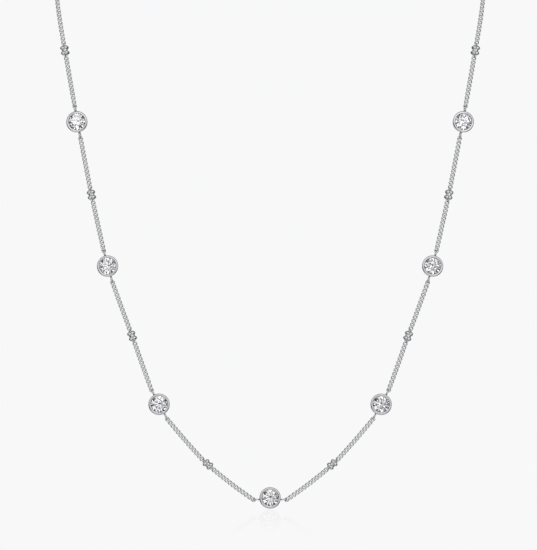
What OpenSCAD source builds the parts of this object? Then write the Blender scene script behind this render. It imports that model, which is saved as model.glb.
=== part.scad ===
// Station necklace: bezel-set round stones and small bead clusters on a fine curb chain.
// Lengths are in millimetres. X runs across the wearer, -Y is the front and Z is up.
// The origin is the middle of the clasp at the nape, where the necklace rests on the neck.

/* [Necklace] */
// Length of the whole loop, measured along the chain
necklace_len = 457; // [440:1:500]
// Distance along the chain from one stone to the next
station_pitch = 37; // [34:0.5:39]
// How far back the chain leans where it lies on the side of the neck, in degrees
neck_lean = 78; // [60:1:85]
// How much of a piece's direction comes from the chain above it
upper_pull = 0.6; // [0.5:0.05:0.7]

/* [Chain] */
// Width of the curb chain across its flat face
chain_w = 1.28; // [1:0.04:1.4]
// Thickness of the curb chain from face to back
chain_t = 0.8; // [0.6:0.05:0.95]
// Gap between the chain's outline and what its end link hooks into
chain_gap = 0.15; // [0.1:0.05:0.3]
// How far a level length of chain would sag between two pieces
chain_sag = 0.3; // [0:0.02:0.4]

/* [Stones] */
// Diameter of each round brilliant at its girdle
stone_d = 4.2; // [3.6:0.1:4.8]
// Diameter of the table as a share of the girdle's
table_share = 0.57; // [0.53:0.01:0.62]
// Angle of the crown facets above the girdle, in degrees
crown_deg = 34.5; // [31:0.5:37]
// Angle of the pavilion facets below the girdle, in degrees
pavilion_deg = 40.8; // [39:0.1:42]
// Thickness of the girdle
girdle_t = 0.12; // [0.08:0.01:0.2]
// Turn of all stones' facets about their points, in degrees
facet_turn = 22.5; // [0:0.5:45]

/* [Bezels] */
// Width of the rolled rim, seen from the front
rim_w = 0.68; // [0.5:0.02:0.9]
// How far the rim reaches in over the stone's edge
lip_over = 0.1; // [0.06:0.02:0.16]
// Depth of the cup behind the stone's point
back_room = 0.1; // [0.05:0.05:0.5]
// Thickness of the rim's thin edge over the stone
lip_t = 0.05; // [0.03:0.01:0.1]
// How far the rim stands out from the cup's wall
rim_step = 0.06; // [0.02:0.01:0.12]
// How much the cup narrows from its rim to its back, on the radius
cup_taper = 0.3; // [0.15:0.05:0.4]
// Width of the ledge that the stone's pavilion rests on
seat_w = 0.4; // [0.25:0.05:0.6]
// Clearance between each stone and its cup
seat_gap = 0.04; // [0.03:0.01:0.08]

/* [Lugs] */
// Wire of the small rings soldered to the sides of each cup
lug_wire = 0.38; // [0.3:0.02:0.5]
// Outer diameter of those rings
lug_d = 2.05; // [1.8:0.05:2.25]
// How deep their middle lies, as a share of the cup's depth
lug_depth = 0.55; // [0.5:0.01:0.6]
// How far the middle cup's rings sit below its middle
lug_drop = 0.42; // [0:0.02:0.6]

/* [Bead clusters] */
// Diameter of each ball in a cluster, across the chain
ball_d = 1.32; // [1.16:0.02:1.44]
// Thickness of each ball along the chain, as they are pressed a little flat
ball_t = 1.06; // [0.94:0.02:1.16]
// Width across two neighbouring balls, seen from the front
cluster_w = 2.07; // [1.9:0.01:2.3]
// Distance along the chain between a cluster's two rings of balls
ring_pitch = 1.29; // [1.17:0.01:1.41]
// Diameter of the short barrel between the two rings
barrel_d = 1.46; // [1.3:0.02:1.6]
// Wire of the small eye at each end of a cluster
eye_wire = 0.3; // [0.24:0.02:0.34]
// Outer diameter of that eye
eye_d = 1.2; // [1.1:0.02:1.3]
// How far the middle of the eye stands out from the balls
eye_out = 0.14; // [0.1:0.01:0.2]
// Turn of the eye out of the chain's face, as at a link's own end, in degrees
eye_turn = 45; // [40:1:50]

/* [Clasp] */
// Outer diameter of the round clasp
clasp_d = 5.5; // [5:0.1:7]
// Thickness of the clasp's ring
clasp_wire = 0.9; // [0.7:0.05:1.1]
// Outer diameter of the ring that the clasp closes on
end_ring_d = 3.1; // [2.8:0.1:3.6]
// Wire of that ring
end_ring_wire = 0.4; // [0.36:0.02:0.44]
// Clearance between the clasp and that ring
link_gap = 0.05; // [0.03:0.01:0.1]

/* [Hidden] */
SIDES = ["left", "right"];
STATIONS = [1, 2, 3];
CLUSTERS = [1, 2, 3, 4];
LENGTHS = [1, 2, 3, 4, 5, 6, 7, 8];

// The left half's way up from the middle stone, one row for each step from piece to piece:
// its length as a share of station_pitch, its slope and its lean in degrees, and how far the
// piece at its end is turned outwards. Clusters and stones take turns, a cluster first.
STEP_SHARE = 0;
STEP_SLOPE = 1;
STEP_LEAN = 2;
STEP_TURN = 3;
ROUTE = [
    [0.477, 28.3, 0, 0],
    [0.522, 51.0, 1, 3],
    [0.499, 68.3, 4, 4],
    [0.500, 71.0, 6, 5],
    [0.500, 77.0, 6, 7],
    [0.504, 79.2, 7, 9],
    [0.499, 80.0, 8, 11]
];
PIECES = len(ROUTE);
SLOPE_AT_NAPE = 180;
TURN_AT_NAPE = 180;

// Steps in which the stretch round the neck is worked out, and the rings of its solid
NECK_STEPS = 48;
NECK_RINGS = 19;
// Share of that stretch after which it has its full lean, and the search for its bend
LEAN_DONE = 0.6;
LOWEST_BEND = 0.1;
HIGHEST_BEND = 6;
HALVINGS = 24;
// Rings of each short length of chain, and the sides of all of them
LENGTH_RINGS = 3;
CHAIN_SIDES = 8;

// Mains of a stone's crown, and how far down its pavilion the lower halves end
FACETS = 8;
LOW_SHARE = 0.24;
// Share of a lug's wire that is sunk in what it is soldered to, and a cluster's core
SUNK_SHARE = 0.5;
CORE_SHARE = 0.65;

$fn = 48;
SILVER = [0.82, 0.83, 0.85];
CRYSTAL = [0.92, 0.95, 0.98];

// Cup and stone, measured from the top of the rim
stone_r = stone_d / 2;
lip_r = stone_r - lip_over;
cup_r = lip_r + rim_w;
groove_r = stone_r + seat_gap;
seat_r = stone_r - seat_w;
lip_z = -rim_w / 2;
girdle_top = lip_z - seat_gap / cos(crown_deg) - lip_over * tan(crown_deg) - lip_t;
girdle_bottom = girdle_top - girdle_t;
table_r = stone_r * table_share;
table_z = girdle_top + (stone_r - table_r) * tan(crown_deg);
point_z = girdle_bottom - stone_r * tan(pavilion_deg);
cup_back = point_z - back_room;

// The lugs are centred on the chain, beside the cup's wall
lug_z = lug_depth * cup_back;
wall_share = (lip_z - lug_z) / (lip_z - cup_back);
wall_r = cup_r - rim_step - (cup_taper - rim_step) * wall_share;

// Distances from a piece's middle to where the chain's outline begins
lug_middle = wall_r + lug_d / 2 - SUNK_SHARE * lug_wire;
cup_reach = lug_middle + lug_d / 2 + chain_gap;
ball_ring_r = (cluster_w - ball_d) / sqrt(2);
core_r = CORE_SHARE * ball_ring_r;
eye_middle = ring_pitch / 2 + ball_t / 2 + eye_out;
core_end = eye_middle - eye_d / 2 + eye_wire;
cluster_reach = eye_middle + eye_d / 2 + chain_gap;
clasp_mid_r = (clasp_d - clasp_wire) / 2;
clasp_eye_middle = clasp_d / 2 + lug_d / 2 - SUNK_SHARE * lug_wire;
clasp_reach = clasp_eye_middle + lug_d / 2 + chain_gap;
end_ring_mid_r = (end_ring_d - end_ring_wire) / 2;
end_ring_middle = clasp_mid_r - clasp_wire / 2 - end_ring_wire / 2 - link_gap + end_ring_mid_r;
end_ring_reach = end_ring_middle + end_ring_d / 2 + chain_gap;

// Directions and small sums
function unit(v) = v / norm(v);
function heading(slope, lean) = [-cos(slope), sin(slope) * sin(lean), sin(slope) * cos(lean)];
function face_at(way, turn) = let (out = [-sin(turn), -cos(turn), 0]) unit(out - (out * way) * way);
function mixed(a, b, t) = a + (b - a) * t;
function smooth(t) = let (u = max(0, min(1, t))) u * u * (3 - 2 * u);
function sums(steps, start, i = 0) =
    i == len(steps) ? [start] : concat([start], sums(steps, start + steps[i], i + 1));
function total(v, i = 0) = i == len(v) ? 0 : v[i] + total(v, i + 1);

// The stretch round the neck, from the last cluster to the nape. Its slope goes on to the nape,
// and the bend that closes the loop at its length is found by halving.
front_len = station_pitch * total([for (s = ROUTE) s[STEP_SHARE]]);
neck_len = necklace_len / 2 - front_len;
front_steps = [for (s = ROUTE) station_pitch * s[STEP_SHARE] * heading(s[STEP_SLOPE], s[STEP_LEAN])];
front_points = sums(front_steps, [0, 0, 0]);
last_step = ROUTE[PIECES - 1];
NECK_TIMES = [for (i = [0 : NECK_STEPS - 1]) (i + 0.5) / NECK_STEPS];
function neck_slope(t, bend) = mixed(last_step[STEP_SLOPE], SLOPE_AT_NAPE, smooth(pow(t, bend)));
function neck_lean_at(t) = mixed(last_step[STEP_LEAN], neck_lean, smooth(t / LEAN_DONE));
function neck_turn(t) = mixed(last_step[STEP_TURN], TURN_AT_NAPE, t);
function inward(bend) = total([for (t = NECK_TIMES) -cos(neck_slope(t, bend))]) / NECK_STEPS;
function found_bend(low, high, times) =
    let (middle = (low + high) / 2)
    times == 0 ? middle
    : inward(middle) > -front_points[PIECES][0] / neck_len ? found_bend(middle, high, times - 1)
    : found_bend(low, middle, times - 1);
neck_bend = found_bend(LOWEST_BEND, HIGHEST_BEND, HALVINGS);
neck_steps = [for (t = NECK_TIMES)
    neck_len / NECK_STEPS * heading(neck_slope(t, neck_bend), neck_lean_at(t))];
neck_points = sums(neck_steps, front_points[PIECES]);
nape = neck_points[NECK_STEPS];

// Each piece's place, its way along the chain and its face. Piece 0 is the middle stone.
function step_way(k) = unit(k < PIECES ? front_steps[k] : neck_steps[0]);
function way_of(k) = k == 0 ? [-1, 0, 0] : unit(mixed(step_way(k - 1), step_way(k), upper_pull));
function slope_of(k) = let (way = way_of(k)) atan2(way[2], -way[0]);
function turn_of(k) = k == 0 ? 0 : ROUTE[k - 1][STEP_TURN];
function place_of(k) = front_points[k] - nape;
function reach_of(k) = k % 2 == 0 ? cup_reach : cluster_reach;
function drop_of(k) = k == 0 ? [0, 0, -lug_drop] : [0, 0, 0];

// Where the length of chain from piece k to the next begins and ends, and how it sags between
function start_of(k) = place_of(k) + drop_of(k) + way_of(k) * reach_of(k);
function end_of(k) = place_of(k + 1) - way_of(k + 1) * reach_of(k + 1);
function sag_of(k) =
    let (way = unit(end_of(k) - start_of(k)), down = [0, 0, -1], fall = down - (down * way) * way)
    chain_sag * norm(fall) * fall;

// A point of the stretch round the neck, a given length along it from the last cluster
function neck_at(s) =
    let (f = s / neck_len * NECK_STEPS, i = min(NECK_STEPS - 1, floor(f)))
    mixed(neck_points[i], neck_points[i + 1], f - i) - nape;

// One closed tube along the given points, with its broad face turned as the turns say
function oval(c, way, turn) =
    let (face = face_at(way, turn), across = cross(face, way), grow = 1 / cos(180 / CHAIN_SIDES))
    [for (j = [0 : CHAIN_SIDES - 1])
        let (a = 360 * (j + 0.5) / CHAIN_SIDES)
        c + grow * (across * cos(a) * chain_w / 2 + face * sin(a) * chain_t / 2)];

module swept(points, turns) {
    last = len(points) - 1;
    ways = [for (i = [0 : last]) unit(points[min(last, i + 1)] - points[max(0, i - 1)])];
    corners = [for (i = [0 : last]) each oval(points[i], ways[i], turns[i])];
    sides = [for (i = [0 : last - 1]) for (j = [0 : CHAIN_SIDES - 1])
        let (a = i * CHAIN_SIDES, b = a + CHAIN_SIDES, n = (j + 1) % CHAIN_SIDES)
        each [[a + j, b + j, b + n], [a + j, b + n, a + n]]];
    first_end = [for (j = [0 : CHAIN_SIDES - 1]) j];
    last_end = [for (j = [0 : CHAIN_SIDES - 1]) last * CHAIN_SIDES + CHAIN_SIDES - 1 - j];
    polyhedron(corners, concat(sides, [first_end, last_end]));
}

// Chain: lengths 1 to 7 lead from piece to piece, and length 8 goes round the neck
module chain(k, back_reach) {
    times = [for (i = [0 : LENGTH_RINGS - 1]) i / (LENGTH_RINGS - 1)];
    neck_from = cluster_reach;
    neck_to = neck_len - back_reach;
    color(SILVER)
    if (k < len(LENGTHS))
        swept(
            [for (t = times) mixed(start_of(k - 1), end_of(k - 1), t)
                + 4 * t * (1 - t) * sag_of(k - 1)],
            [for (t = times) mixed(turn_of(k - 1), turn_of(k), t)]
        );
    else
        swept(
            [for (i = [0 : NECK_RINGS - 1])
                neck_at(mixed(neck_from, neck_to, i / (NECK_RINGS - 1)))],
            [for (i = [0 : NECK_RINGS - 1])
                neck_turn(mixed(neck_from, neck_to, i / (NECK_RINGS - 1)) / neck_len)]
        );
}

// Puts a piece on the route: its own X runs along the chain and its own Z out of its face
module placed(k) {
    way = way_of(k);
    face = face_at(way, turn_of(k));
    side = cross(face, way);
    at = place_of(k);
    multmatrix([
        [way[0], side[0], face[0], at[0]],
        [way[1], side[1], face[1], at[1]],
        [way[2], side[2], face[2], at[2]]
    ])
    children();
}

// Wire bent into a closed ring, lying in the XY plane
module wire_ring(outer_d, wire) {
    rotate_extrude()
        translate([(outer_d - wire) / 2, 0])
            circle(d = wire, $fn = 24);
}

// Cup: a narrowing wall under a rolled rim, with a groove for the girdle, a ledge and an open back
module cup() {
    rotate_extrude()
        difference() {
            union() {
                translate([lip_r + rim_w / 2, lip_z])
                    circle(d = rim_w);
                polygon([
                    [lip_r, lip_z],
                    [cup_r - rim_step, lip_z],
                    [cup_r - cup_taper, cup_back],
                    [lip_r, cup_back]
                ]);
                translate([seat_r, cup_back])
                    square([groove_r - seat_r, girdle_bottom - cup_back]);
            }
            polygon([
                [0, lip_z - lip_t],
                [lip_r, lip_z - lip_t],
                [groove_r, girdle_top + seat_gap],
                [groove_r, girdle_bottom],
                [seat_r, girdle_bottom - (groove_r - seat_r) * tan(pavilion_deg) - seat_gap / 2],
                [seat_r, cup_back - rim_w],
                [0, cup_back - rim_w]
            ]);
        }
}

// Lug: a ring soldered to the cup's side, edge-on to the front
module lug(way, drop) {
    translate([way * lug_middle, drop, lug_z])
        rotate([90, 0, 0])
            wire_ring(lug_d, lug_wire);
}

module bezel(k) {
    color(SILVER)
    placed(k)
    translate([0, 0, -lug_z])
        union() {
            cup();
            for (way = [-1, 1]) lug(way, k == 0 ? lug_drop : 0);
        }
}

// Stone: a round brilliant with a table, 8 stars, 8 kites and 16 upper halves on its crown,
// and 8 mains and 16 lower halves on its pavilion
function round_point(r, step, z) = [r * cos(step * 180 / FACETS), r * sin(step * 180 / FACETS), z];

module brilliant() {
    star_r = (table_r * cos(180 / FACETS) + stone_r) / 2;
    star_z = girdle_top + (stone_r - star_r * cos(180 / FACETS)) * tan(crown_deg);
    low_r = LOW_SHARE * stone_r;
    low_z = girdle_bottom - (stone_r - low_r * cos(180 / FACETS)) * tan(pavilion_deg);
    ring = 2 * FACETS;
    table = 0;
    stars = table + FACETS;
    upper = stars + FACETS;
    lower = upper + ring;
    lows = lower + ring;
    tip = lows + FACETS;
    points = concat(
        [for (i = [0 : FACETS - 1]) round_point(table_r, 2 * i, table_z)],
        [for (i = [0 : FACETS - 1]) round_point(star_r, 2 * i + 1, star_z)],
        [for (i = [0 : ring - 1]) round_point(stone_r, i, girdle_top)],
        [for (i = [0 : ring - 1]) round_point(stone_r, i, girdle_bottom)],
        [for (i = [0 : FACETS - 1]) round_point(low_r, 2 * i + 1, low_z)],
        [[0, 0, point_z]]
    );
    crown = [for (i = [0 : FACETS - 1])
        let (n = (i + 1) % FACETS, p = (i + FACETS - 1) % FACETS, g = (2 * i + 2) % ring)
        each [
            [table + i, stars + i, table + n],
            [table + i, stars + p, upper + 2 * i],
            [table + i, upper + 2 * i, stars + i],
            [stars + i, upper + 2 * i, upper + 2 * i + 1],
            [stars + i, upper + 2 * i + 1, upper + g]
        ]];
    girdle = [for (i = [0 : ring - 1])
        let (n = (i + 1) % ring)
        [upper + i, lower + i, lower + n, upper + n]];
    pavilion = [for (i = [0 : FACETS - 1])
        let (p = (i + FACETS - 1) % FACETS, g = (2 * i + 2) % ring)
        each [
            [tip, lows + i, lower + 2 * i],
            [tip, lower + 2 * i, lows + p],
            [lows + i, lower + 2 * i + 1, lower + 2 * i],
            [lows + i, lower + g, lower + 2 * i + 1]
        ]];
    polyhedron(points, concat([[for (i = [0 : FACETS - 1]) table + i]], crown, girdle, pavilion));
}

// All stones are set with their facets turned alike, whatever the slope of the chain
module stone(k) {
    color(CRYSTAL)
    placed(k)
    translate([0, 0, -lug_z])
        rotate([0, 0, slope_of(k) + facet_turn])
            brilliant();
}

// Cluster: two rings of four flattened balls on a barrel and a core, with an eye at each end
module cluster(k) {
    color(SILVER)
    placed(k)
    union() {
        rotate([0, 90, 0])
            cylinder(r = core_r, h = 2 * core_end, center = true);
        rotate([0, 90, 0])
            cylinder(d = barrel_d, h = ring_pitch, center = true);
        for (row = [-0.5, 0.5], around = [45 : 90 : 315])
            translate([row * ring_pitch, ball_ring_r * cos(around), ball_ring_r * sin(around)])
                scale([ball_t / ball_d, 1, 1])
                    sphere(d = ball_d);
        for (way = [-1, 1])
            translate([way * eye_middle, 0, 0])
                rotate([-way * eye_turn, 0, 0])
                    wire_ring(eye_d, eye_wire);
    }
}

// Clasp: a plain round clasp with an eye for the left end of the chain
module clasp() {
    color(SILVER)
    union() {
        rotate([90, 0, 0])
            wire_ring(clasp_d, clasp_wire);
        translate([-clasp_eye_middle, 0, 0])
            wire_ring(lug_d, lug_wire);
    }
}

// End ring: it hangs through the clasp and holds the right end of the chain
module end_ring() {
    color(SILVER)
    translate([end_ring_middle, 0, 0])
        wire_ring(end_ring_d, end_ring_wire);
}

// The right half is the left half's mirror image
module on_side(side) {
    mirror([side == "right" ? 1 : 0, 0, 0])
        children();
}

bezel(0);  // bezel_middle
stone(0);  // stone_middle
clasp();
end_ring();
for (side = SIDES) on_side(side) {
    for (k = STATIONS) {
        bezel(2 * k);
        stone(2 * k);
    }
    for (k = CLUSTERS)
        cluster(2 * k - 1);
    for (k = LENGTHS)
        chain(k, side == "left" ? clasp_reach : end_ring_reach);
}
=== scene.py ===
import math

import bpy
from mathutils import Matrix, Vector


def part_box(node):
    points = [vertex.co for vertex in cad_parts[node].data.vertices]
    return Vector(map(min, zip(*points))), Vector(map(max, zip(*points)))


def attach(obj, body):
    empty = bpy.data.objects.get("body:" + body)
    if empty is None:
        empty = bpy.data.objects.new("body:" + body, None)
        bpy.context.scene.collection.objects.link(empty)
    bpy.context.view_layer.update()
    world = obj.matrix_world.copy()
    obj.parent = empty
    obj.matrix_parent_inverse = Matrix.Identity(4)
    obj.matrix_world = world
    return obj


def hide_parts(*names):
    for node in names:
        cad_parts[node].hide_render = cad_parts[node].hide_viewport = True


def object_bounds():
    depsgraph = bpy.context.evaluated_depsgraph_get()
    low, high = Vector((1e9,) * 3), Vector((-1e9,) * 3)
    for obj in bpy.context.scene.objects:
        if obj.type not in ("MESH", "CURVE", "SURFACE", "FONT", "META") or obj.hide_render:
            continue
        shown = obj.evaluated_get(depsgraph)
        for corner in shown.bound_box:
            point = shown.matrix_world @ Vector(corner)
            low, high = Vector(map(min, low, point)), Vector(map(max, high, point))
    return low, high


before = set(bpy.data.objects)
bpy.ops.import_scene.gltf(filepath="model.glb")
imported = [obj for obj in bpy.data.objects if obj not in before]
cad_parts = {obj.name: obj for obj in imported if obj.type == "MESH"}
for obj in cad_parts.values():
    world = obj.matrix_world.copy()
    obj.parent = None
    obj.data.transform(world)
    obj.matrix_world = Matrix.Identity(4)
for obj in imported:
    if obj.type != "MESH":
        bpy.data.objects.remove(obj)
CAD_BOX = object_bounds()

# Station necklace: seven round stones in rub-over cups and eight bead clusters on a fine curb
# chain. X runs across the wearer, -Y is the front and Z is up. Lengths are in metres, and the
# origin is the middle of the clasp at the nape.
bl_info = {
    "name": "Station Necklace",
    "version": (1, 0, 0),
    "blender": (4, 5, 0),
    "location": "3D View > Sidebar > Necklace",
    "description": "Models the links, cups and bead clusters of a station necklace",
    "category": "Add Mesh",
}

MM = 0.001
MERGE = 0.002 * MM
SIDES = ("left", "right")

# The left half's way up from the middle stone, a row for each step from piece to piece: its
# length as a share of the station pitch, its slope and lean in degrees, and how far the piece
# at its end is turned outwards. Clusters and stones take turns, a cluster first.
ROUTE = (
    (0.477, 28.3, 0, 0),
    (0.522, 51.0, 1, 3),
    (0.499, 68.3, 4, 4),
    (0.500, 71.0, 6, 5),
    (0.500, 77.0, 6, 7),
    (0.504, 79.2, 7, 9),
    (0.499, 80.0, 8, 11),
)
PIECES = len(ROUTE)
NECK_LENGTH = PIECES + 1
NECK_STEPS = 48
LEAN_DONE = 0.6
SLOPE_AT_NAPE = 180
TURN_AT_NAPE = 180
LOWEST_BEND = 0.1
HIGHEST_BEND = 6.0
HALVINGS = 24

# Share of a lug's wire that is sunk in what it is soldered to, and a cluster's core
SUNK_SHARE = 0.5
CORE_SHARE = 0.65

# Play between neighbouring links as a share of their wire, and between an end link and its ring
HOOK_PLAY = 1.06
LUG_PLAY = 0.08 * MM
EYE_PLAY = 0.06 * MM
END_RING_PLAY = 0.04 * MM

# The last few links before a ring roll towards it, so that they cross its wire squarely
ROLLED_LINKS = 3
LUG_ROLL = 30

# Share of a link's pitch over which the chain's direction is taken
LOOK_SHARE = 0.1

# Small round-over of the cup's back edges, sides of the turned cup, and its rim's turn in degrees
CUP_EDGE = 0.06 * MM
CUP_SIDES = 64
RIM_TURN = range(180, -45, -15)

# Furthest that a piece may be planned from its solid, and the angle up to which it shades smooth
PLACE_LIMIT = 0.02 * MM
SMOOTH_ANGLE = math.radians(40)

# Ripples that polishing leaves on each kind of piece: their spacing and their height
CUP_RIPPLE = (1.1 * MM, 0.012 * MM)
BEAD_RIPPLE = (0.8 * MM, 0.008 * MM)
WIRE_RIPPLE = (0.5 * MM, 0.004 * MM)
CLASP_RIPPLE = (1.4 * MM, 0.012 * MM)

# Fine marks to a ripple, what they make of the roughness and the tone, and the stones' refraction
MARKS_PER_RIPPLE = 6
SMOOTHEST = 0.7
ROUGHEST = 1.4
DULLEST = 0.9
ZIRCONIA_IOR = 2.17

# The frame that the camera takes in, at the middle stone's distance, and its middle
VIEW_HEIGHT = 137.5 * MM
VIEW_X = -0.4 * MM
VIEW_Z = -95.98 * MM
CAMERA_DISTANCE = 6.0
SENSOR = 36.0

# The floor lies this far below the lowest cup, and its gloss fades over this stretch in front
FLOOR_SIZE = 6.0
FLOOR_DROP = 0.14 * MM
FADE_FROM = -0.05
FADE_TO = -0.75

# Soft boxes and gaps of the tent, a row for each: its turn to the right of the front and its height
# above it, how far it is full and where it has faded, in degrees from its middle, its brightness
SILVER_BOXES = (
    (8, 18, 26, 62, 1.7),
    (-75, 30, 20, 45, 0.75),
    (75, 10, 12, 40, 0.7),
    (-18, -65, 26, 58, 0.9),
    (0, -2, 13, 26, 0.55),
    (180, 25, 35, 55, 0.5),
    (180, 0, 4, 12, 0.94),
)

# The same for light that has gone through a stone, so that its facets show
STONE_BOXES = (
    (-33, -5, 28, 47, 1.34),
    (-126, 89, 23, 61, 2.95),
    (-14, -82, 24, 45, 3.0),
    (41, 8, 18, 23, 2.02),
    (-33, -26, 27, 35, 0.0),
    (78, -68, 11, 37, 2.75),
    (-140, -60, 8, 41, 1.09),
    (129, -16, 7, 29, 0.79),
    (63, -10, 19, 25, 2.99),
)


def linear(code):
    """Turns an sRGB hex colour to the linear values that Blender mixes."""
    parts = [int(code[i:i + 2], 16) / 255 for i in (1, 3, 5)]
    return [c / 12.92 if c <= 0.04045 else ((c + 0.055) / 1.055) ** 2.4 for c in parts]


def length(name, description, size):
    """A length on the panel, given in millimetres and kept in metres."""
    return bpy.props.FloatProperty(
        name=name, description=description, default=size * MM, min=0, precision=5, unit="LENGTH"
    )


def angle(name, description, degrees):
    """An angle on the panel, given in degrees."""
    return bpy.props.FloatProperty(
        name=name, description=description, default=math.radians(degrees), unit="ROTATION"
    )


def colour(name, description, code):
    """A colour on the panel, given as sRGB hex."""
    return bpy.props.FloatVectorProperty(
        name=name, description=description, default=linear(code), min=0, max=1, subtype="COLOR"
    )


def share(name, description, value):
    """A number from 0 to 1 on the panel."""
    return bpy.props.FloatProperty(
        name=name, description=description, default=value, min=0, max=1, subtype="FACTOR"
    )


class NecklaceSizes(bpy.types.PropertyGroup):
    """Sizes of the necklace. Those of its solids are repeated from their source."""

    necklace_len: length("Length", "Whole loop, measured along the chain", 457)
    station_pitch: length("Stone spacing", "Distance along the chain between stones", 37)
    neck_lean: angle("Lean at the neck", "How far back the chain leans on the neck's side", 78)
    upper_pull: share("Upper pull", "How much of a piece's direction the chain above gives", 0.6)
    chain_w: length("Chain width", "Curb chain across its flat face", 1.28)
    chain_sag: length("Chain sag", "How far a level length would sag between two pieces", 0.3)
    link_wire: length("Link wire", "Thickness of a link's wire", 0.38)
    link_pitch: length("Link spacing", "Distance from one link to the next", 1.03)
    link_twist: angle("Link twist", "Turn of a link's wire from one end to the other", 95)
    stone_d: length("Stone diameter", "Round brilliant at its girdle", 4.2)
    crown_deg: angle("Crown angle", "Crown facets above the girdle", 34.5)
    pavilion_deg: angle("Pavilion angle", "Pavilion facets below the girdle", 40.8)
    girdle_t: length("Girdle", "Thickness of the girdle", 0.12)
    rim_w: length("Rim width", "Rolled rim, seen from the front", 0.68)
    lip_over: length("Lip", "How far the rim reaches in over the stone's edge", 0.1)
    back_room: length("Back room", "Depth of the cup behind the stone's point", 0.1)
    lip_t: length("Lip thickness", "Rim's thin edge over the stone", 0.05)
    rim_step: length("Rim step", "How far the rim stands out from the cup's wall", 0.06)
    cup_taper: length("Cup taper", "How much the cup narrows to its back, on the radius", 0.3)
    seat_w: length("Seat", "Ledge that the stone's pavilion rests on", 0.4)
    seat_gap: length("Seat clearance", "Clearance between a stone and its cup", 0.04)
    lug_wire: length("Lug wire", "Wire of the rings soldered to a cup's sides", 0.38)
    lug_d: length("Lug diameter", "Outer diameter of those rings", 2.05)
    lug_depth: share("Lug depth", "How deep their middle lies, as a share of the cup's depth", 0.55)
    lug_drop: length("Lug drop", "How far the middle cup's rings sit below its middle", 0.42)
    ball_d: length("Ball diameter", "Each ball in a cluster, across the chain", 1.32)
    ball_t: length("Ball thickness", "Each ball along the chain, as it is pressed flat", 1.06)
    cluster_w: length("Cluster width", "Across two neighbouring balls", 2.07)
    ring_pitch: length("Ring spacing", "Between a cluster's two rings of balls", 1.29)
    barrel_d: length("Barrel", "Short barrel between the two rings", 1.46)
    eye_wire: length("Eye wire", "Wire of the small eye at each end of a cluster", 0.3)
    eye_d: length("Eye diameter", "Outer diameter of that eye", 1.2)
    eye_out: length("Eye reach", "How far the eye's middle stands out from the balls", 0.14)
    eye_turn: angle("Eye turn", "Turn of the eye out of the chain's face", 45)
    clasp_d: length("Clasp diameter", "Outer diameter of the round clasp", 5.5)
    clasp_wire: length("Clasp wire", "Thickness of the clasp's ring", 0.9)
    end_ring_d: length("End ring diameter", "Ring that the clasp closes on", 3.1)
    end_ring_wire: length("End ring wire", "Wire of that ring", 0.4)
    link_gap: length("Ring clearance", "Clearance between the clasp and that ring", 0.05)


class NecklaceFinish(bpy.types.PropertyGroup):
    """Colours and polish of the necklace and its studio."""

    silver: colour("Silver", "Rhodium plate on the cast pieces", "#CACBCD")
    wire: colour("Wire", "Rhodium plate on the drawn wire of the links", "#E9EAEC")
    crystal: colour("Crystal", "Clear cubic zirconia", "#FCFBFF")
    backdrop: colour("Backdrop", "Paper behind and below the necklace", "#F8F8F9")
    tent: colour("Tent", "Cloth of the light tent between its soft boxes", "#5A5B5C")
    stone_tent: colour("Stones' tent", "The same cloth as it shows through the stones", "#2E2E2F")
    polish: share("Polish", "Roughness of the polished cast silver", 0.12)
    wire_polish: share("Wire polish", "Roughness of the tumbled links", 0.2)
    gloss: share("Floor gloss", "Strength of the floor's reflection", 0.1)


def unit(v):
    return v.normalized()


def mixed(a, b, t):
    return a + (b - a) * t


def smooth(t):
    u = min(max(t, 0), 1)
    return u * u * (3 - 2 * u)


def heading(slope, lean):
    """Direction of a step with that slope and lean, in degrees, on the left half."""
    s, n = math.radians(slope), math.radians(lean)
    return Vector((-math.cos(s), math.sin(s) * math.sin(n), math.sin(s) * math.cos(n)))


def placed(place, way, turn):
    """Frame of a piece: its X runs along the chain, and its Z out of its face."""
    t = math.radians(turn)
    out = Vector((-math.sin(t), -math.cos(t), 0))
    face = unit(out - out.dot(way) * way)
    axes = Matrix((way, face.cross(way), face)).transposed()
    return Matrix.Translation(place) @ axes.to_4x4()


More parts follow.
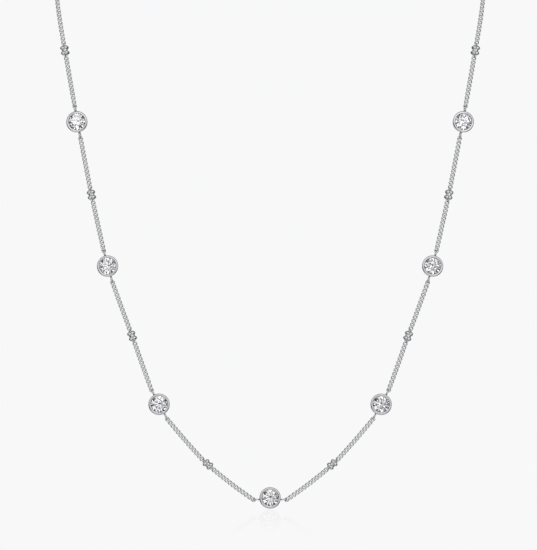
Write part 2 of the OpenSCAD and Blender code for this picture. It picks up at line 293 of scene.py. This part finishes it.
class Plan:
    """Places and sizes that follow from the panel's sizes, as in the solids' source."""

    def __init__(self, s):
        self.sizes = s
        self.plan_cup(s)
        self.plan_ends(s)
        self.plan_route(s)

    def plan_cup(self, s):
        """Cup and stone, measured from the top of the rim."""
        self.stone_r = s.stone_d / 2
        self.lip_r = self.stone_r - s.lip_over
        self.cup_r = self.lip_r + s.rim_w
        self.groove_r = self.stone_r + s.seat_gap
        self.seat_r = self.stone_r - s.seat_w
        self.lip_z = -s.rim_w / 2
        slack = s.seat_gap / math.cos(s.crown_deg) + s.lip_over * math.tan(s.crown_deg)
        self.girdle_top = self.lip_z - slack - s.lip_t
        self.girdle_bottom = self.girdle_top - s.girdle_t
        point_z = self.girdle_bottom - self.stone_r * math.tan(s.pavilion_deg)
        self.cup_back = point_z - s.back_room
        self.lug_z = s.lug_depth * self.cup_back
        wall_share = (self.lip_z - self.lug_z) / (self.lip_z - self.cup_back)
        self.wall_r = self.cup_r - s.rim_step - (s.cup_taper - s.rim_step) * wall_share

    def plan_ends(self, s):
        """Distances from a piece's middle to its rings and to the wire that the chain pulls at."""
        self.link_half = (s.link_pitch + HOOK_PLAY * s.link_wire) / 2
        self.lug_middle = self.wall_r + s.lug_d / 2 - SUNK_SHARE * s.lug_wire
        self.ball_ring_r = (s.cluster_w - s.ball_d) / math.sqrt(2)
        self.eye_middle = s.ring_pitch / 2 + s.ball_t / 2 + s.eye_out
        self.core_end = self.eye_middle - s.eye_d / 2 + s.eye_wire
        self.clasp_mid_r = (s.clasp_d - s.clasp_wire) / 2
        self.clasp_eye_middle = s.clasp_d / 2 + s.lug_d / 2 - SUNK_SHARE * s.lug_wire
        end_mid_r = (s.end_ring_d - s.end_ring_wire) / 2
        inside = self.clasp_mid_r - s.clasp_wire / 2 - s.end_ring_wire / 2
        self.end_ring_middle = inside - s.link_gap + end_mid_r
        self.lug_pull = self.lug_middle + (s.lug_d - s.lug_wire) / 2
        self.eye_pull = self.eye_middle + (s.eye_d - s.eye_wire) / 2
        self.in_lug = self.inside(s.lug_wire, LUG_PLAY)
        self.in_eye = self.inside(s.eye_wire, EYE_PLAY)
        in_end_ring = self.inside(s.end_ring_wire, END_RING_PLAY)
        self.clasp_hook = {
            "left": self.clasp_eye_middle + (s.lug_d - s.lug_wire) / 2 - self.in_lug,
            "right": self.end_ring_middle + end_mid_r - in_end_ring,
        }

    def inside(self, wire, play):
        """How far past the middle of a ring's wire the end of a link's own centreline lies."""
        return (wire + self.sizes.link_wire) / 2 + play

    def plan_route(self, s):
        """Points from the middle stone to the nape, with the neck's bend found by halving."""
        steps = [s.station_pitch * row[0] * heading(row[1], row[2]) for row in ROUTE]
        front = [Vector((0, 0, 0))]
        for step in steps:
            front.append(front[-1] + step)
        self.neck_len = s.necklace_len / 2 - s.station_pitch * sum(row[0] for row in ROUTE)
        low, high = LOWEST_BEND, HIGHEST_BEND
        for _ in range(HALVINGS):
            bend = (low + high) / 2
            neck = self.neck_steps(bend)
            if sum(step.x for step in neck) > -front[-1].x:
                low = bend
            else:
                high = bend
        neck = self.neck_steps((low + high) / 2)
        points = [front[-1]]
        for step in neck:
            points.append(points[-1] + step)
        nape = points[-1]
        self.front = [p - nape for p in front]
        self.neck = [p - nape for p in points]
        headings = [unit(step) for step in steps] + [unit(neck[0])]
        self.ways = [Vector((-1, 0, 0))]
        for below, above in zip(headings, headings[1:]):
            self.ways.append(unit(mixed(below, above, s.upper_pull)))

    def neck_steps(self, bend):
        """Steps round the neck to the nape, which turn sooner or later as the bend says."""
        lean = math.degrees(self.sizes.neck_lean)
        steps = []
        for i in range(NECK_STEPS):
            t = (i + 0.5) / NECK_STEPS
            slope = mixed(ROUTE[-1][1], SLOPE_AT_NAPE, smooth(t ** bend))
            leant = mixed(ROUTE[-1][2], lean, smooth(t / LEAN_DONE))
            steps.append(self.neck_len / NECK_STEPS * heading(slope, leant))
        return steps

    def turn(self, k):
        return ROUTE[k - 1][3] if k else 0

    def frame(self, k):
        """Frame of piece k on the left half. Piece 0 is the middle stone."""
        return placed(self.front[k], self.ways[k], self.turn(k))

    def pull_at(self, k, end):
        """Where the chain pulls at piece k's ring, with end 1 towards the nape and -1 away."""
        pull = self.eye_pull if k % 2 else self.lug_pull
        drop = Vector((0, 0, -self.sizes.lug_drop if k == 0 else 0))
        return self.front[k] + drop + end * pull * self.ways[k]

    def neck_at(self, along):
        """Point of the neck's stretch, measured along it from the last cluster."""
        f = min(max(along / self.neck_len * NECK_STEPS, 0), NECK_STEPS)
        i = min(int(f), NECK_STEPS - 1)
        return self.neck[i].lerp(self.neck[i + 1], f - i)


def plan_of(context):
    return Plan(context.scene.necklace_sizes)


def check_place(node, place):
    """Stops if a piece planned here isn't where its solid is."""
    low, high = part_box(node)
    if ((low + high) / 2 - place).length > PLACE_LIMIT:
        raise RuntimeError(f"{node} is planned away from its solid")


def only(piece):
    """Leaves just this piece selected and active."""
    bpy.ops.object.select_all(action="DESELECT")
    piece.select_set(True)
    bpy.context.view_layer.objects.active = piece


def added(name):
    """Names what an operator has just added, and leaves just that selected."""
    piece = bpy.context.active_object
    piece.name = name
    piece.data.name = name
    only(piece)
    return piece


def pick(piece, test):
    """Selects the points that pass a test, and only those, for the next edit."""
    mesh = piece.data
    for edge in mesh.edges:
        edge.select = False
    for face in mesh.polygons:
        face.select = False
    for v in mesh.vertices:
        v.select = test(v.co)


def apply_modifier(piece, name, kind, **settings):
    only(piece)
    modifier = piece.modifiers.new(name, kind)
    for key, value in settings.items():
        setattr(modifier, key, value)
    bpy.ops.object.modifier_apply(modifier=modifier.name)


def fused(piece, others):
    """Solders other pieces to this one, so that they are one closed skin."""
    for other in others:
        apply_modifier(piece, "Solder", "BOOLEAN", operation="UNION", solver="EXACT", object=other)
        bpy.data.objects.remove(other)
    return piece


def joined(pieces, name):
    """Joins loose pieces into one mesh without soldering them."""
    bpy.ops.object.select_all(action="DESELECT")
    for piece in pieces:
        piece.select_set(True)
    bpy.context.view_layer.objects.active = pieces[0]
    bpy.ops.object.join()
    return added(name)


def copy_of(piece, name, matrix):
    """Copy with its own mesh, placed in the mesh. A mirrored one has its faces turned out."""
    twin = piece.copy()
    twin.data = piece.data.copy()
    twin.name = name
    twin.data.name = name
    bpy.context.scene.collection.objects.link(twin)
    twin.data.transform(matrix)
    if matrix.determinant() < 0:
        only(twin)
        bpy.ops.object.mode_set(mode="EDIT")
        bpy.ops.mesh.select_all(action="SELECT")
        bpy.ops.mesh.normals_make_consistent(inside=False)
        bpy.ops.object.mode_set(mode="OBJECT")
    return twin


def mirrored(matrix, side):
    return Matrix.Scale(-1, 4, (1, 0, 0)) @ matrix if side == "right" else matrix


def wire_ring(name, outer_d, wire, middle=(0, 0, 0), turn=math.pi / 2, segments=24, sides=10):
    """Wire bent to a closed ring and turned about X: by 0 it lies in the XY plane."""
    bpy.ops.object.select_all(action="DESELECT")
    bpy.ops.mesh.primitive_torus_add(
        major_segments=segments,
        minor_segments=sides,
        major_radius=(outer_d - wire) / 2,
        minor_radius=wire / 2,
        location=middle,
        rotation=(turn, 0, 0),
    )
    ring = added(name)
    bpy.ops.object.transform_apply(location=True, rotation=True, scale=True)
    return ring


def turned(name, outline, steps):
    """Solid turned on a lathe: a point is extruded along the outline, which is then spun."""
    bpy.ops.object.select_all(action="DESELECT")
    bpy.ops.mesh.primitive_plane_add(size=MM)
    piece = added(name)
    bpy.ops.object.mode_set(mode="EDIT")
    bpy.ops.mesh.select_all(action="SELECT")
    bpy.ops.mesh.merge(type="CENTER")
    here = Vector((0, 0, 0))
    for r, z in outline + outline[:1]:
        there = Vector((r, 0, z))
        if here.length == 0:
            bpy.ops.transform.translate(value=there)
        else:
            bpy.ops.mesh.extrude_region_move(TRANSFORM_OT_translate={"value": there - here})
        here = there
    bpy.ops.mesh.select_all(action="SELECT")
    bpy.ops.mesh.remove_doubles(threshold=MERGE)
    bpy.ops.mesh.select_all(action="SELECT")
    bpy.ops.mesh.spin(steps=steps, angle=math.tau, center=(0, 0, 0), axis=(0, 0, 1))
    bpy.ops.mesh.select_all(action="SELECT")
    bpy.ops.mesh.remove_doubles(threshold=MERGE)
    bpy.ops.mesh.normals_make_consistent(inside=False)
    bpy.ops.object.mode_set(mode="OBJECT")
    return piece


def dressed(piece, node, material):
    """Gives a piece its finish, hangs it on the root body and hides the solid that it stands for."""
    piece.data.materials.clear()
    piece.data.materials.append(material)
    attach(piece, "root")
    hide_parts(node)


def add_node(owner, kind, sockets=None, joins=None, **settings):
    """Adds a node to a material or world, with its settings, socket values and what feeds it."""
    tree = owner.node_tree
    node = tree.nodes.new(kind)
    for key, value in settings.items():
        setattr(node, key, value)
    for key, value in (sockets or {}).items():
        node.inputs[key].default_value = value
    for key, (source, output) in (joins or {}).items():
        tree.links.new(source.outputs[output], node.inputs[key])
    return node


def new_material(name):
    material = bpy.data.materials.new(name)
    material.use_nodes = True
    material.node_tree.nodes.clear()
    return material


def opaque(tint):
    return (*tint, 1)


def silver_material(name, tint, roughness, ripple):
    """Rhodium-plated sterling silver: a bright, slightly cool grey mirror.

    The polishing wheel leaves soft ripples and a roughness that changes a little from place to
    place, which break a highlight's edge.
    """
    spacing, height = ripple
    material = new_material(name)
    place = add_node(material, "ShaderNodeTexCoord")
    waves = add_node(
        material,
        "ShaderNodeTexNoise",
        {"Scale": 1 / spacing, "Detail": 2, "Roughness": 0.5},
        {"Vector": (place, "Object")},
    )
    fine = add_node(
        material,
        "ShaderNodeTexNoise",
        {"Scale": MARKS_PER_RIPPLE / spacing, "Detail": 3, "Roughness": 0.6},
        {"Vector": (place, "Object")},
    )
    rough = add_node(
        material,
        "ShaderNodeMapRange",
        {
            "From Min": 0.3,
            "From Max": 0.7,
            "To Min": roughness * SMOOTHEST,
            "To Max": roughness * ROUGHEST,
        },
        {"Value": (fine, "Fac")},
    )
    tone = add_node(
        material,
        "ShaderNodeMix",
        {"A": opaque([c * DULLEST for c in tint]), "B": opaque(tint)},
        {"Factor": (fine, "Fac")},
        data_type="RGBA",
    )
    bump = add_node(
        material,
        "ShaderNodeBump",
        {"Strength": 1, "Distance": height},
        {"Height": (waves, "Fac")},
    )
    shader = add_node(
        material,
        "ShaderNodeBsdfPrincipled",
        {"Metallic": 1},
        {"Base Color": (tone, "Result"), "Roughness": (rough, "Result"), "Normal": (bump, "Normal")},
    )
    add_node(material, "ShaderNodeOutputMaterial", joins={"Surface": (shader, "BSDF")})
    return material


def crystal_material(name, tint):
    """Cubic zirconia, cut and polished: clear, with hard bright facets and high refraction."""
    material = new_material(name)
    shader = add_node(
        material,
        "ShaderNodeBsdfPrincipled",
        {
            "Base Color": opaque(tint),
            "Roughness": 0.0,
            "IOR": ZIRCONIA_IOR,
            "Transmission Weight": 1,
        },
    )
    add_node(material, "ShaderNodeOutputMaterial", joins={"Surface": (shader, "BSDF")})
    return material


class NECKLACE_OT_cups(bpy.types.Operator):
    """Add the rub-over cups with their soldered lugs"""

    bl_idname = "necklace.add_cups"
    bl_label = "Cups"
    bl_options = {"REGISTER", "UNDO"}

    def outline(self, plan):
        """Half section of the cup, from the lip round the rolled rim to the back and inside."""
        s = plan.sizes
        rim_r = s.rim_w / 2
        rim_middle = plan.lip_r + rim_r
        points = []
        for degrees in RIM_TURN:
            a = math.radians(degrees)
            points.append((rim_middle + rim_r * math.cos(a), plan.lip_z + rim_r * math.sin(a)))
        rim_foot = points[-1][1]
        slope = (s.cup_taper - s.rim_step) / (plan.lip_z - plan.cup_back)
        wall_top = plan.cup_r - s.rim_step - slope * (plan.lip_z - rim_foot)
        points[-1] = (wall_top, rim_foot)
        back_r = plan.cup_r - s.cup_taper
        fall = (plan.groove_r - plan.seat_r) * math.tan(s.pavilion_deg) + s.seat_gap / 2
        points += [
            (back_r, plan.cup_back + CUP_EDGE),
            (back_r - CUP_EDGE, plan.cup_back),
            (plan.seat_r + CUP_EDGE, plan.cup_back),
            (plan.seat_r, plan.cup_back + CUP_EDGE),
            (plan.seat_r, plan.girdle_bottom - fall),
            (plan.groove_r, plan.girdle_bottom),
            (plan.groove_r, plan.girdle_top + s.seat_gap),
            (plan.lip_r, plan.lip_z - s.lip_t),
        ]
        return points

    def model(self, plan, drop):
        """One cup in its own frame, with a lug on either side."""
        s = plan.sizes
        cup = turned("cup", self.outline(plan), CUP_SIDES)
        cup.data.transform(Matrix.Translation((0, 0, -plan.lug_z)))
        lugs = [
            wire_ring("lug", s.lug_d, s.lug_wire, (way * plan.lug_middle, drop, 0))
            for way in (-1, 1)
        ]
        fused(cup, lugs)
        only(cup)
        bpy.ops.object.shade_smooth_by_angle(angle=SMOOTH_ANGLE)
        return cup

    def execute(self, context):
        plan = plan_of(context)
        finish = context.scene.necklace_finish
        silver = silver_material("rhodium_plated_silver", finish.silver, finish.polish, CUP_RIPPLE)
        middle = self.model(plan, plan.sizes.lug_drop)
        cup = self.model(plan, 0)
        dressed(copy_of(middle, "cup_middle", plan.frame(0)), "bezel_middle", silver)
        for side in SIDES:
            for k in (2, 4, 6):
                twin = copy_of(cup, f"cup_{side}_{k // 2}", mirrored(plan.frame(k), side))
                dressed(twin, f"bezel_{side}_{k // 2}", silver)
        bpy.data.objects.remove(middle)
        bpy.data.objects.remove(cup)
        return {"FINISHED"}


class NECKLACE_OT_stones(bpy.types.Operator):
    """Give the cut stones their crystal"""

    bl_idname = "necklace.finish_stones"
    bl_label = "Stones"
    bl_options = {"REGISTER", "UNDO"}

    def execute(self, context):
        crystal = crystal_material("cubic_zirconia", context.scene.necklace_finish.crystal)
        for name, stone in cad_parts.items():
            if name.startswith("stone_"):
                stone.data.materials.clear()
                stone.data.materials.append(crystal)
        return {"FINISHED"}


class NECKLACE_OT_clusters(bpy.types.Operator):
    """Add the bead clusters between the stones"""

    bl_idname = "necklace.add_clusters"
    bl_label = "Bead clusters"
    bl_options = {"REGISTER", "UNDO"}

    def barrel(self, name, radius, depth, sides):
        """Round bar along the chain."""
        bpy.ops.object.select_all(action="DESELECT")
        bpy.ops.mesh.primitive_cylinder_add(
            vertices=sides, radius=radius, depth=depth, rotation=(0, math.pi / 2, 0)
        )
        bar = added(name)
        bpy.ops.object.transform_apply(location=True, rotation=True, scale=True)
        return bar

    def ball(self, plan, row, around):
        """One ball, pressed a little flat along the chain."""
        s = plan.sizes
        y, z = plan.ball_ring_r * math.cos(around), plan.ball_ring_r * math.sin(around)
        bpy.ops.object.select_all(action="DESELECT")
        bpy.ops.mesh.primitive_uv_sphere_add(
            segments=16,
            ring_count=12,
            radius=s.ball_d / 2,
            location=(row * s.ring_pitch, y, z),
            rotation=(around, 0, 0),
        )
        ball = added("ball")
        bpy.ops.object.transform_apply(location=False, rotation=True, scale=True)
        ball.scale = (s.ball_t / s.ball_d, 1, 1)
        bpy.ops.object.transform_apply(location=True, rotation=True, scale=True)
        return ball

    def model(self, plan):
        """Two rings of four balls on a barrel and a core, with an eye at each end."""
        s = plan.sizes
        core = self.barrel("core", CORE_SHARE * plan.ball_ring_r, 2 * plan.core_end, 12)
        parts = [self.barrel("barrel", s.barrel_d / 2, s.ring_pitch, 24)]
        for row in (-0.5, 0.5):
            for around in (45, 135, 225, 315):
                parts.append(self.ball(plan, row, math.radians(around)))
        for way in (-1, 1):
            at = (way * plan.eye_middle, 0, 0)
            turn = -way * s.eye_turn
            parts.append(wire_ring("eye", s.eye_d, s.eye_wire, at, turn, segments=20, sides=8))
        fused(core, parts)
        only(core)
        bpy.ops.object.shade_smooth_by_angle(angle=SMOOTH_ANGLE)
        return core

    def execute(self, context):
        plan = plan_of(context)
        finish = context.scene.necklace_finish
        silver = silver_material("rhodium_plated_beads", finish.silver, finish.polish, BEAD_RIPPLE)
        cluster = self.model(plan)
        for side in SIDES:
            for k in (1, 3, 5, 7):
                number = (k + 1) // 2
                node = f"cluster_{side}_{number}"
                matrix = mirrored(plan.frame(k), side)
                check_place(node, matrix.translation)
                twin = copy_of(cluster, f"beads_{side}_{number}", matrix)
                dressed(twin, node, silver)
        bpy.data.objects.remove(cluster)
        return {"FINISHED"}


class NECKLACE_OT_chain(bpy.types.Operator):
    """Add the interlocking links of the curb chain"""

    bl_idname = "necklace.add_chain"
    bl_label = "Curb chain"
    bl_options = {"REGISTER", "UNDO"}

    def model(self, plan):
        """One curb link: a wire ring drawn out to an oval, its ends turned opposite ways."""
        s = plan.sizes
        half_w = (s.chain_w - s.link_wire) / 2
        bpy.ops.object.select_all(action="DESELECT")
        bpy.ops.mesh.primitive_torus_add(
            major_segments=12,
            minor_segments=6,
            major_radius=half_w,
            minor_radius=s.link_wire / 2,
        )
        link = added("link")
        for way in (-1, 1):
            pick(link, lambda co, way=way: co.x * way > MERGE)
            bpy.ops.object.mode_set(mode="EDIT")
            bpy.ops.transform.translate(value=(way * (plan.link_half - half_w), 0, 0))
            bpy.ops.transform.rotate(
                value=way * s.link_twist / 2, orient_axis="X", center_override=(0, 0, 0)
            )
            bpy.ops.object.mode_set(mode="OBJECT")
        bpy.ops.object.shade_smooth()
        return link

    def places(self, plan, k, side):
        """Frames of the links of length k, each drawn out a little to fill its pitch."""
        s = plan.sizes
        if k < NECK_LENGTH:
            first, last = plan.pull_at(k - 1, 1), plan.pull_at(k, -1)
            chord = unit(last - first)
            first -= (plan.in_lug if k % 2 else plan.in_eye) * chord
            last += (plan.in_eye if k % 2 else plan.in_lug) * chord
            span = (last - first).length
            fall = Vector((0, 0, -1)) + chord.z * chord
            sag = s.chain_sag * fall.length * fall

            def at(d):
                t = d / span
                return first + chord * d + 4 * t * (1 - t) * sag

            def turn(d):
                return mixed(plan.turn(k - 1), plan.turn(k), d / span)
        else:
            begin = plan.eye_pull - plan.in_eye
            span = plan.neck_len - plan.clasp_hook[side] - begin

            def at(d):
                return plan.neck_at(begin + d)

            def turn(d):
                return mixed(ROUTE[-1][3], TURN_AT_NAPE, (begin + d) / plan.neck_len)

        # n links in a row reach over (n - 1) pitches and one link's own length
        overlap = HOOK_PLAY * s.link_wire
        count = round((span - overlap) / s.link_pitch)
        pitch = (span - overlap) / count
        half = (pitch + overlap) / 2
        stretch = Matrix.Scale(half / plan.link_half, 4, (1, 0, 0))
        look = LOOK_SHARE * pitch
        first_roll = -LUG_ROLL if k % 2 else 0
        last_roll = 0 if k % 2 else LUG_ROLL
        frames = []
        for i in range(count):
            d = half + i * pitch
            ahead = unit(at(d + look) - at(d - look))
            roll = first_roll * max(1 - i / ROLLED_LINKS, 0)
            roll += last_roll * max(1 - (count - 1 - i) / ROLLED_LINKS, 0)
            rolled = Matrix.Rotation(math.radians(roll), 4, "X") @ stretch
            frames.append(placed(at(d), ahead, turn(d)) @ rolled)
        return frames

    def execute(self, context):
        plan = plan_of(context)
        finish = context.scene.necklace_finish
        wire = silver_material("rhodium_plated_wire", finish.wire, finish.wire_polish, WIRE_RIPPLE)
        link = self.model(plan)
        for side in SIDES:
            for k in range(1, NECK_LENGTH + 1):
                links = []
                for i, matrix in enumerate(self.places(plan, k, side)):
                    links.append(copy_of(link, f"link_{i}", mirrored(matrix, side)))
                piece = joined(links, f"links_{side}_{k}")
                dressed(piece, f"chain_{side}_{k}", wire)
        bpy.data.objects.remove(link)
        return {"FINISHED"}


class NECKLACE_OT_clasp(bpy.types.Operator):
    """Add the plain round clasp and the ring that it closes on"""

    bl_idname = "necklace.add_clasp"
    bl_label = "Clasp"
    bl_options = {"REGISTER", "UNDO"}

    def execute(self, context):
        plan = plan_of(context)
        s = plan.sizes
        finish = context.scene.necklace_finish
        silver = silver_material("rhodium_plated_clasp", finish.silver, finish.polish, CLASP_RIPPLE)
        eye_at = (-plan.clasp_eye_middle, 0, 0)
        clasp = wire_ring("round_clasp", s.clasp_d, s.clasp_wire, segments=48, sides=16)
        fused(clasp, [wire_ring("eye", s.lug_d, s.lug_wire, eye_at, 0)])
        at = (plan.end_ring_middle, 0, 0)
        ring = wire_ring(
            "closing_ring", s.end_ring_d, s.end_ring_wire, at, 0, segments=36, sides=12
        )
        for piece, node in ((clasp, "clasp"), (ring, "end_ring")):
            only(piece)
            bpy.ops.object.shade_smooth_by_angle(angle=SMOOTH_ANGLE)
            dressed(piece, node, silver)
        return {"FINISHED"}


class NECKLACE_OT_studio(bpy.types.Operator):
    """Add the pale floor and backdrop, the light tent and the camera"""

    bl_idname = "necklace.add_studio"
    bl_label = "Studio"
    bl_options = {"REGISTER", "UNDO"}

    def floor_material(self, tint, gloss):
        """Pale back-lit acrylic: even in tone, with a weak reflection that fades forwards."""
        material = new_material("pale_acrylic")
        glow = add_node(material, "ShaderNodeEmission", {"Color": opaque(tint), "Strength": 1})
        mirror = add_node(
            material, "ShaderNodeBsdfGlossy", {"Color": (1, 1, 1, 1), "Roughness": 0.0}
        )
        place = add_node(material, "ShaderNodeTexCoord")
        axes = add_node(material, "ShaderNodeSeparateXYZ", joins={"Vector": (place, "Object")})
        fade = add_node(
            material,
            "ShaderNodeMapRange",
            {"From Min": FADE_TO, "From Max": FADE_FROM, "To Min": 0.0, "To Max": gloss},
            {"Value": (axes, "Y")},
        )
        blend = add_node(
            material,
            "ShaderNodeMixShader",
            joins={"Fac": (fade, "Result"), 1: (glow, "Emission"), 2: (mirror, "BSDF")},
        )
        add_node(material, "ShaderNodeOutputMaterial", joins={"Surface": (blend, "Shader")})
        return material

    def cloth_with(self, world, place, cloth, boxes):
        """Light of a tent of one cloth with soft boxes behind it, as a socket's node and name."""
        glow = add_node(world, "ShaderNodeRGB")
        glow.outputs["Color"].default_value = opaque(cloth)
        shade = "Color"
        for turn, height, full, faded, strength in boxes:
            t, h = math.radians(turn), math.radians(height)
            way = (math.sin(t) * math.cos(h), -math.cos(t) * math.cos(h), math.sin(h))
            near = add_node(
                world,
                "ShaderNodeVectorMath",
                {1: way},
                {0: (place, "Generated")},
                operation="DOT_PRODUCT",
            )
            lit = add_node(
                world,
                "ShaderNodeMapRange",
                {
                    "From Min": math.cos(math.radians(faded)),
                    "From Max": math.cos(math.radians(full)),
                    "To Min": 0.0,
                    "To Max": 1.0,
                },
                {"Value": (near, "Value")},
                interpolation_type="SMOOTHSTEP",
            )
            glow = add_node(
                world,
                "ShaderNodeMix",
                {"B": (strength, strength, strength, 1)},
                {"A": (glow, shade), "Factor": (lit, "Result")},
                data_type="RGBA",
            )
            shade = "Result"
        return glow, shade

    def tent(self, finish):
        """The light tent: its boxes for the silver, those that the stones show, the pale backdrop."""
        world = bpy.data.worlds.new("light_tent")
        world.use_nodes = True
        world.node_tree.nodes.clear()
        place = add_node(world, "ShaderNodeTexCoord")
        path = add_node(world, "ShaderNodeLightPath")
        for_silver = self.cloth_with(world, place, finish.tent, SILVER_BOXES)
        for_stones = self.cloth_with(world, place, finish.stone_tent, STONE_BOXES)
        seen = add_node(
            world,
            "ShaderNodeMix",
            joins={"Factor": (path, "Is Transmission Ray"), "A": for_silver, "B": for_stones},
            data_type="RGBA",
        )
        shown = add_node(
            world,
            "ShaderNodeMix",
            {"B": opaque(finish.backdrop)},
            {"Factor": (path, "Is Camera Ray"), "A": (seen, "Result")},
            data_type="RGBA",
        )
        background = add_node(
            world, "ShaderNodeBackground", {"Strength": 1}, {"Color": (shown, "Result")}
        )
        add_node(world, "ShaderNodeOutputWorld", joins={"Surface": (background, "Background")})
        return world

    def execute(self, context):
        scene = context.scene
        finish = scene.necklace_finish
        low = CAD_BOX[0]
        middle = Vector((VIEW_X, low[1], VIEW_Z))
        scene.view_settings.view_transform = "Standard"

        scene.world = self.tent(finish)

        bpy.ops.object.select_all(action="DESELECT")
        bpy.ops.mesh.primitive_plane_add(size=FLOOR_SIZE, location=(0, 0, low[2] - FLOOR_DROP))
        floor = added("floor")
        bpy.ops.object.transform_apply(location=True, rotation=True, scale=True)
        floor.data.materials.append(self.floor_material(finish.backdrop, finish.gloss))
        floor.visible_glossy = False
        floor.visible_transmission = False

        camera = bpy.data.cameras.new("camera")
        camera.sensor_width = SENSOR
        camera.lens = SENSOR * CAMERA_DISTANCE / VIEW_HEIGHT
        seat = bpy.data.objects.new("camera", camera)
        seat.location = middle - Vector((0, CAMERA_DISTANCE, 0))
        seat.rotation_euler = (math.pi / 2, 0, 0)
        scene.collection.objects.link(seat)
        scene.camera = seat
        return {"FINISHED"}


class NECKLACE_PT_panel(bpy.types.Panel):
    """Sizes and finishes of the necklace, and the steps that build it"""

    bl_idname = "NECKLACE_PT_panel"
    bl_label = "Station Necklace"
    bl_space_type = "VIEW_3D"
    bl_region_type = "UI"
    bl_category = "Necklace"

    def draw(self, context):
        layout = self.layout
        for group in (context.scene.necklace_sizes, context.scene.necklace_finish):
            column = layout.column(align=True)
            for name in group.__annotations__:
                column.prop(group, name)
        for step in STEPS:
            layout.operator(step.bl_idname)


STEPS = (
    NECKLACE_OT_cups,
    NECKLACE_OT_stones,
    NECKLACE_OT_clusters,
    NECKLACE_OT_chain,
    NECKLACE_OT_clasp,
    NECKLACE_OT_studio,
)
CLASSES = (NecklaceSizes, NecklaceFinish, *STEPS, NECKLACE_PT_panel)


def register():
    for cls in CLASSES:
        bpy.utils.register_class(cls)
    bpy.types.Scene.necklace_sizes = bpy.props.PointerProperty(type=NecklaceSizes)
    bpy.types.Scene.necklace_finish = bpy.props.PointerProperty(type=NecklaceFinish)


def unregister():
    del bpy.types.Scene.necklace_finish
    del bpy.types.Scene.necklace_sizes
    for cls in reversed(CLASSES):
        bpy.utils.unregister_class(cls)


def main():
    register()
    bpy.ops.necklace.add_cups()
    bpy.ops.necklace.finish_stones()
    bpy.ops.necklace.add_clusters()
    bpy.ops.necklace.add_chain()
    bpy.ops.necklace.add_clasp()
    bpy.ops.necklace.add_studio()
    bpy.ops.object.select_all(action="DESELECT")


if __name__ == "__main__":
    main()
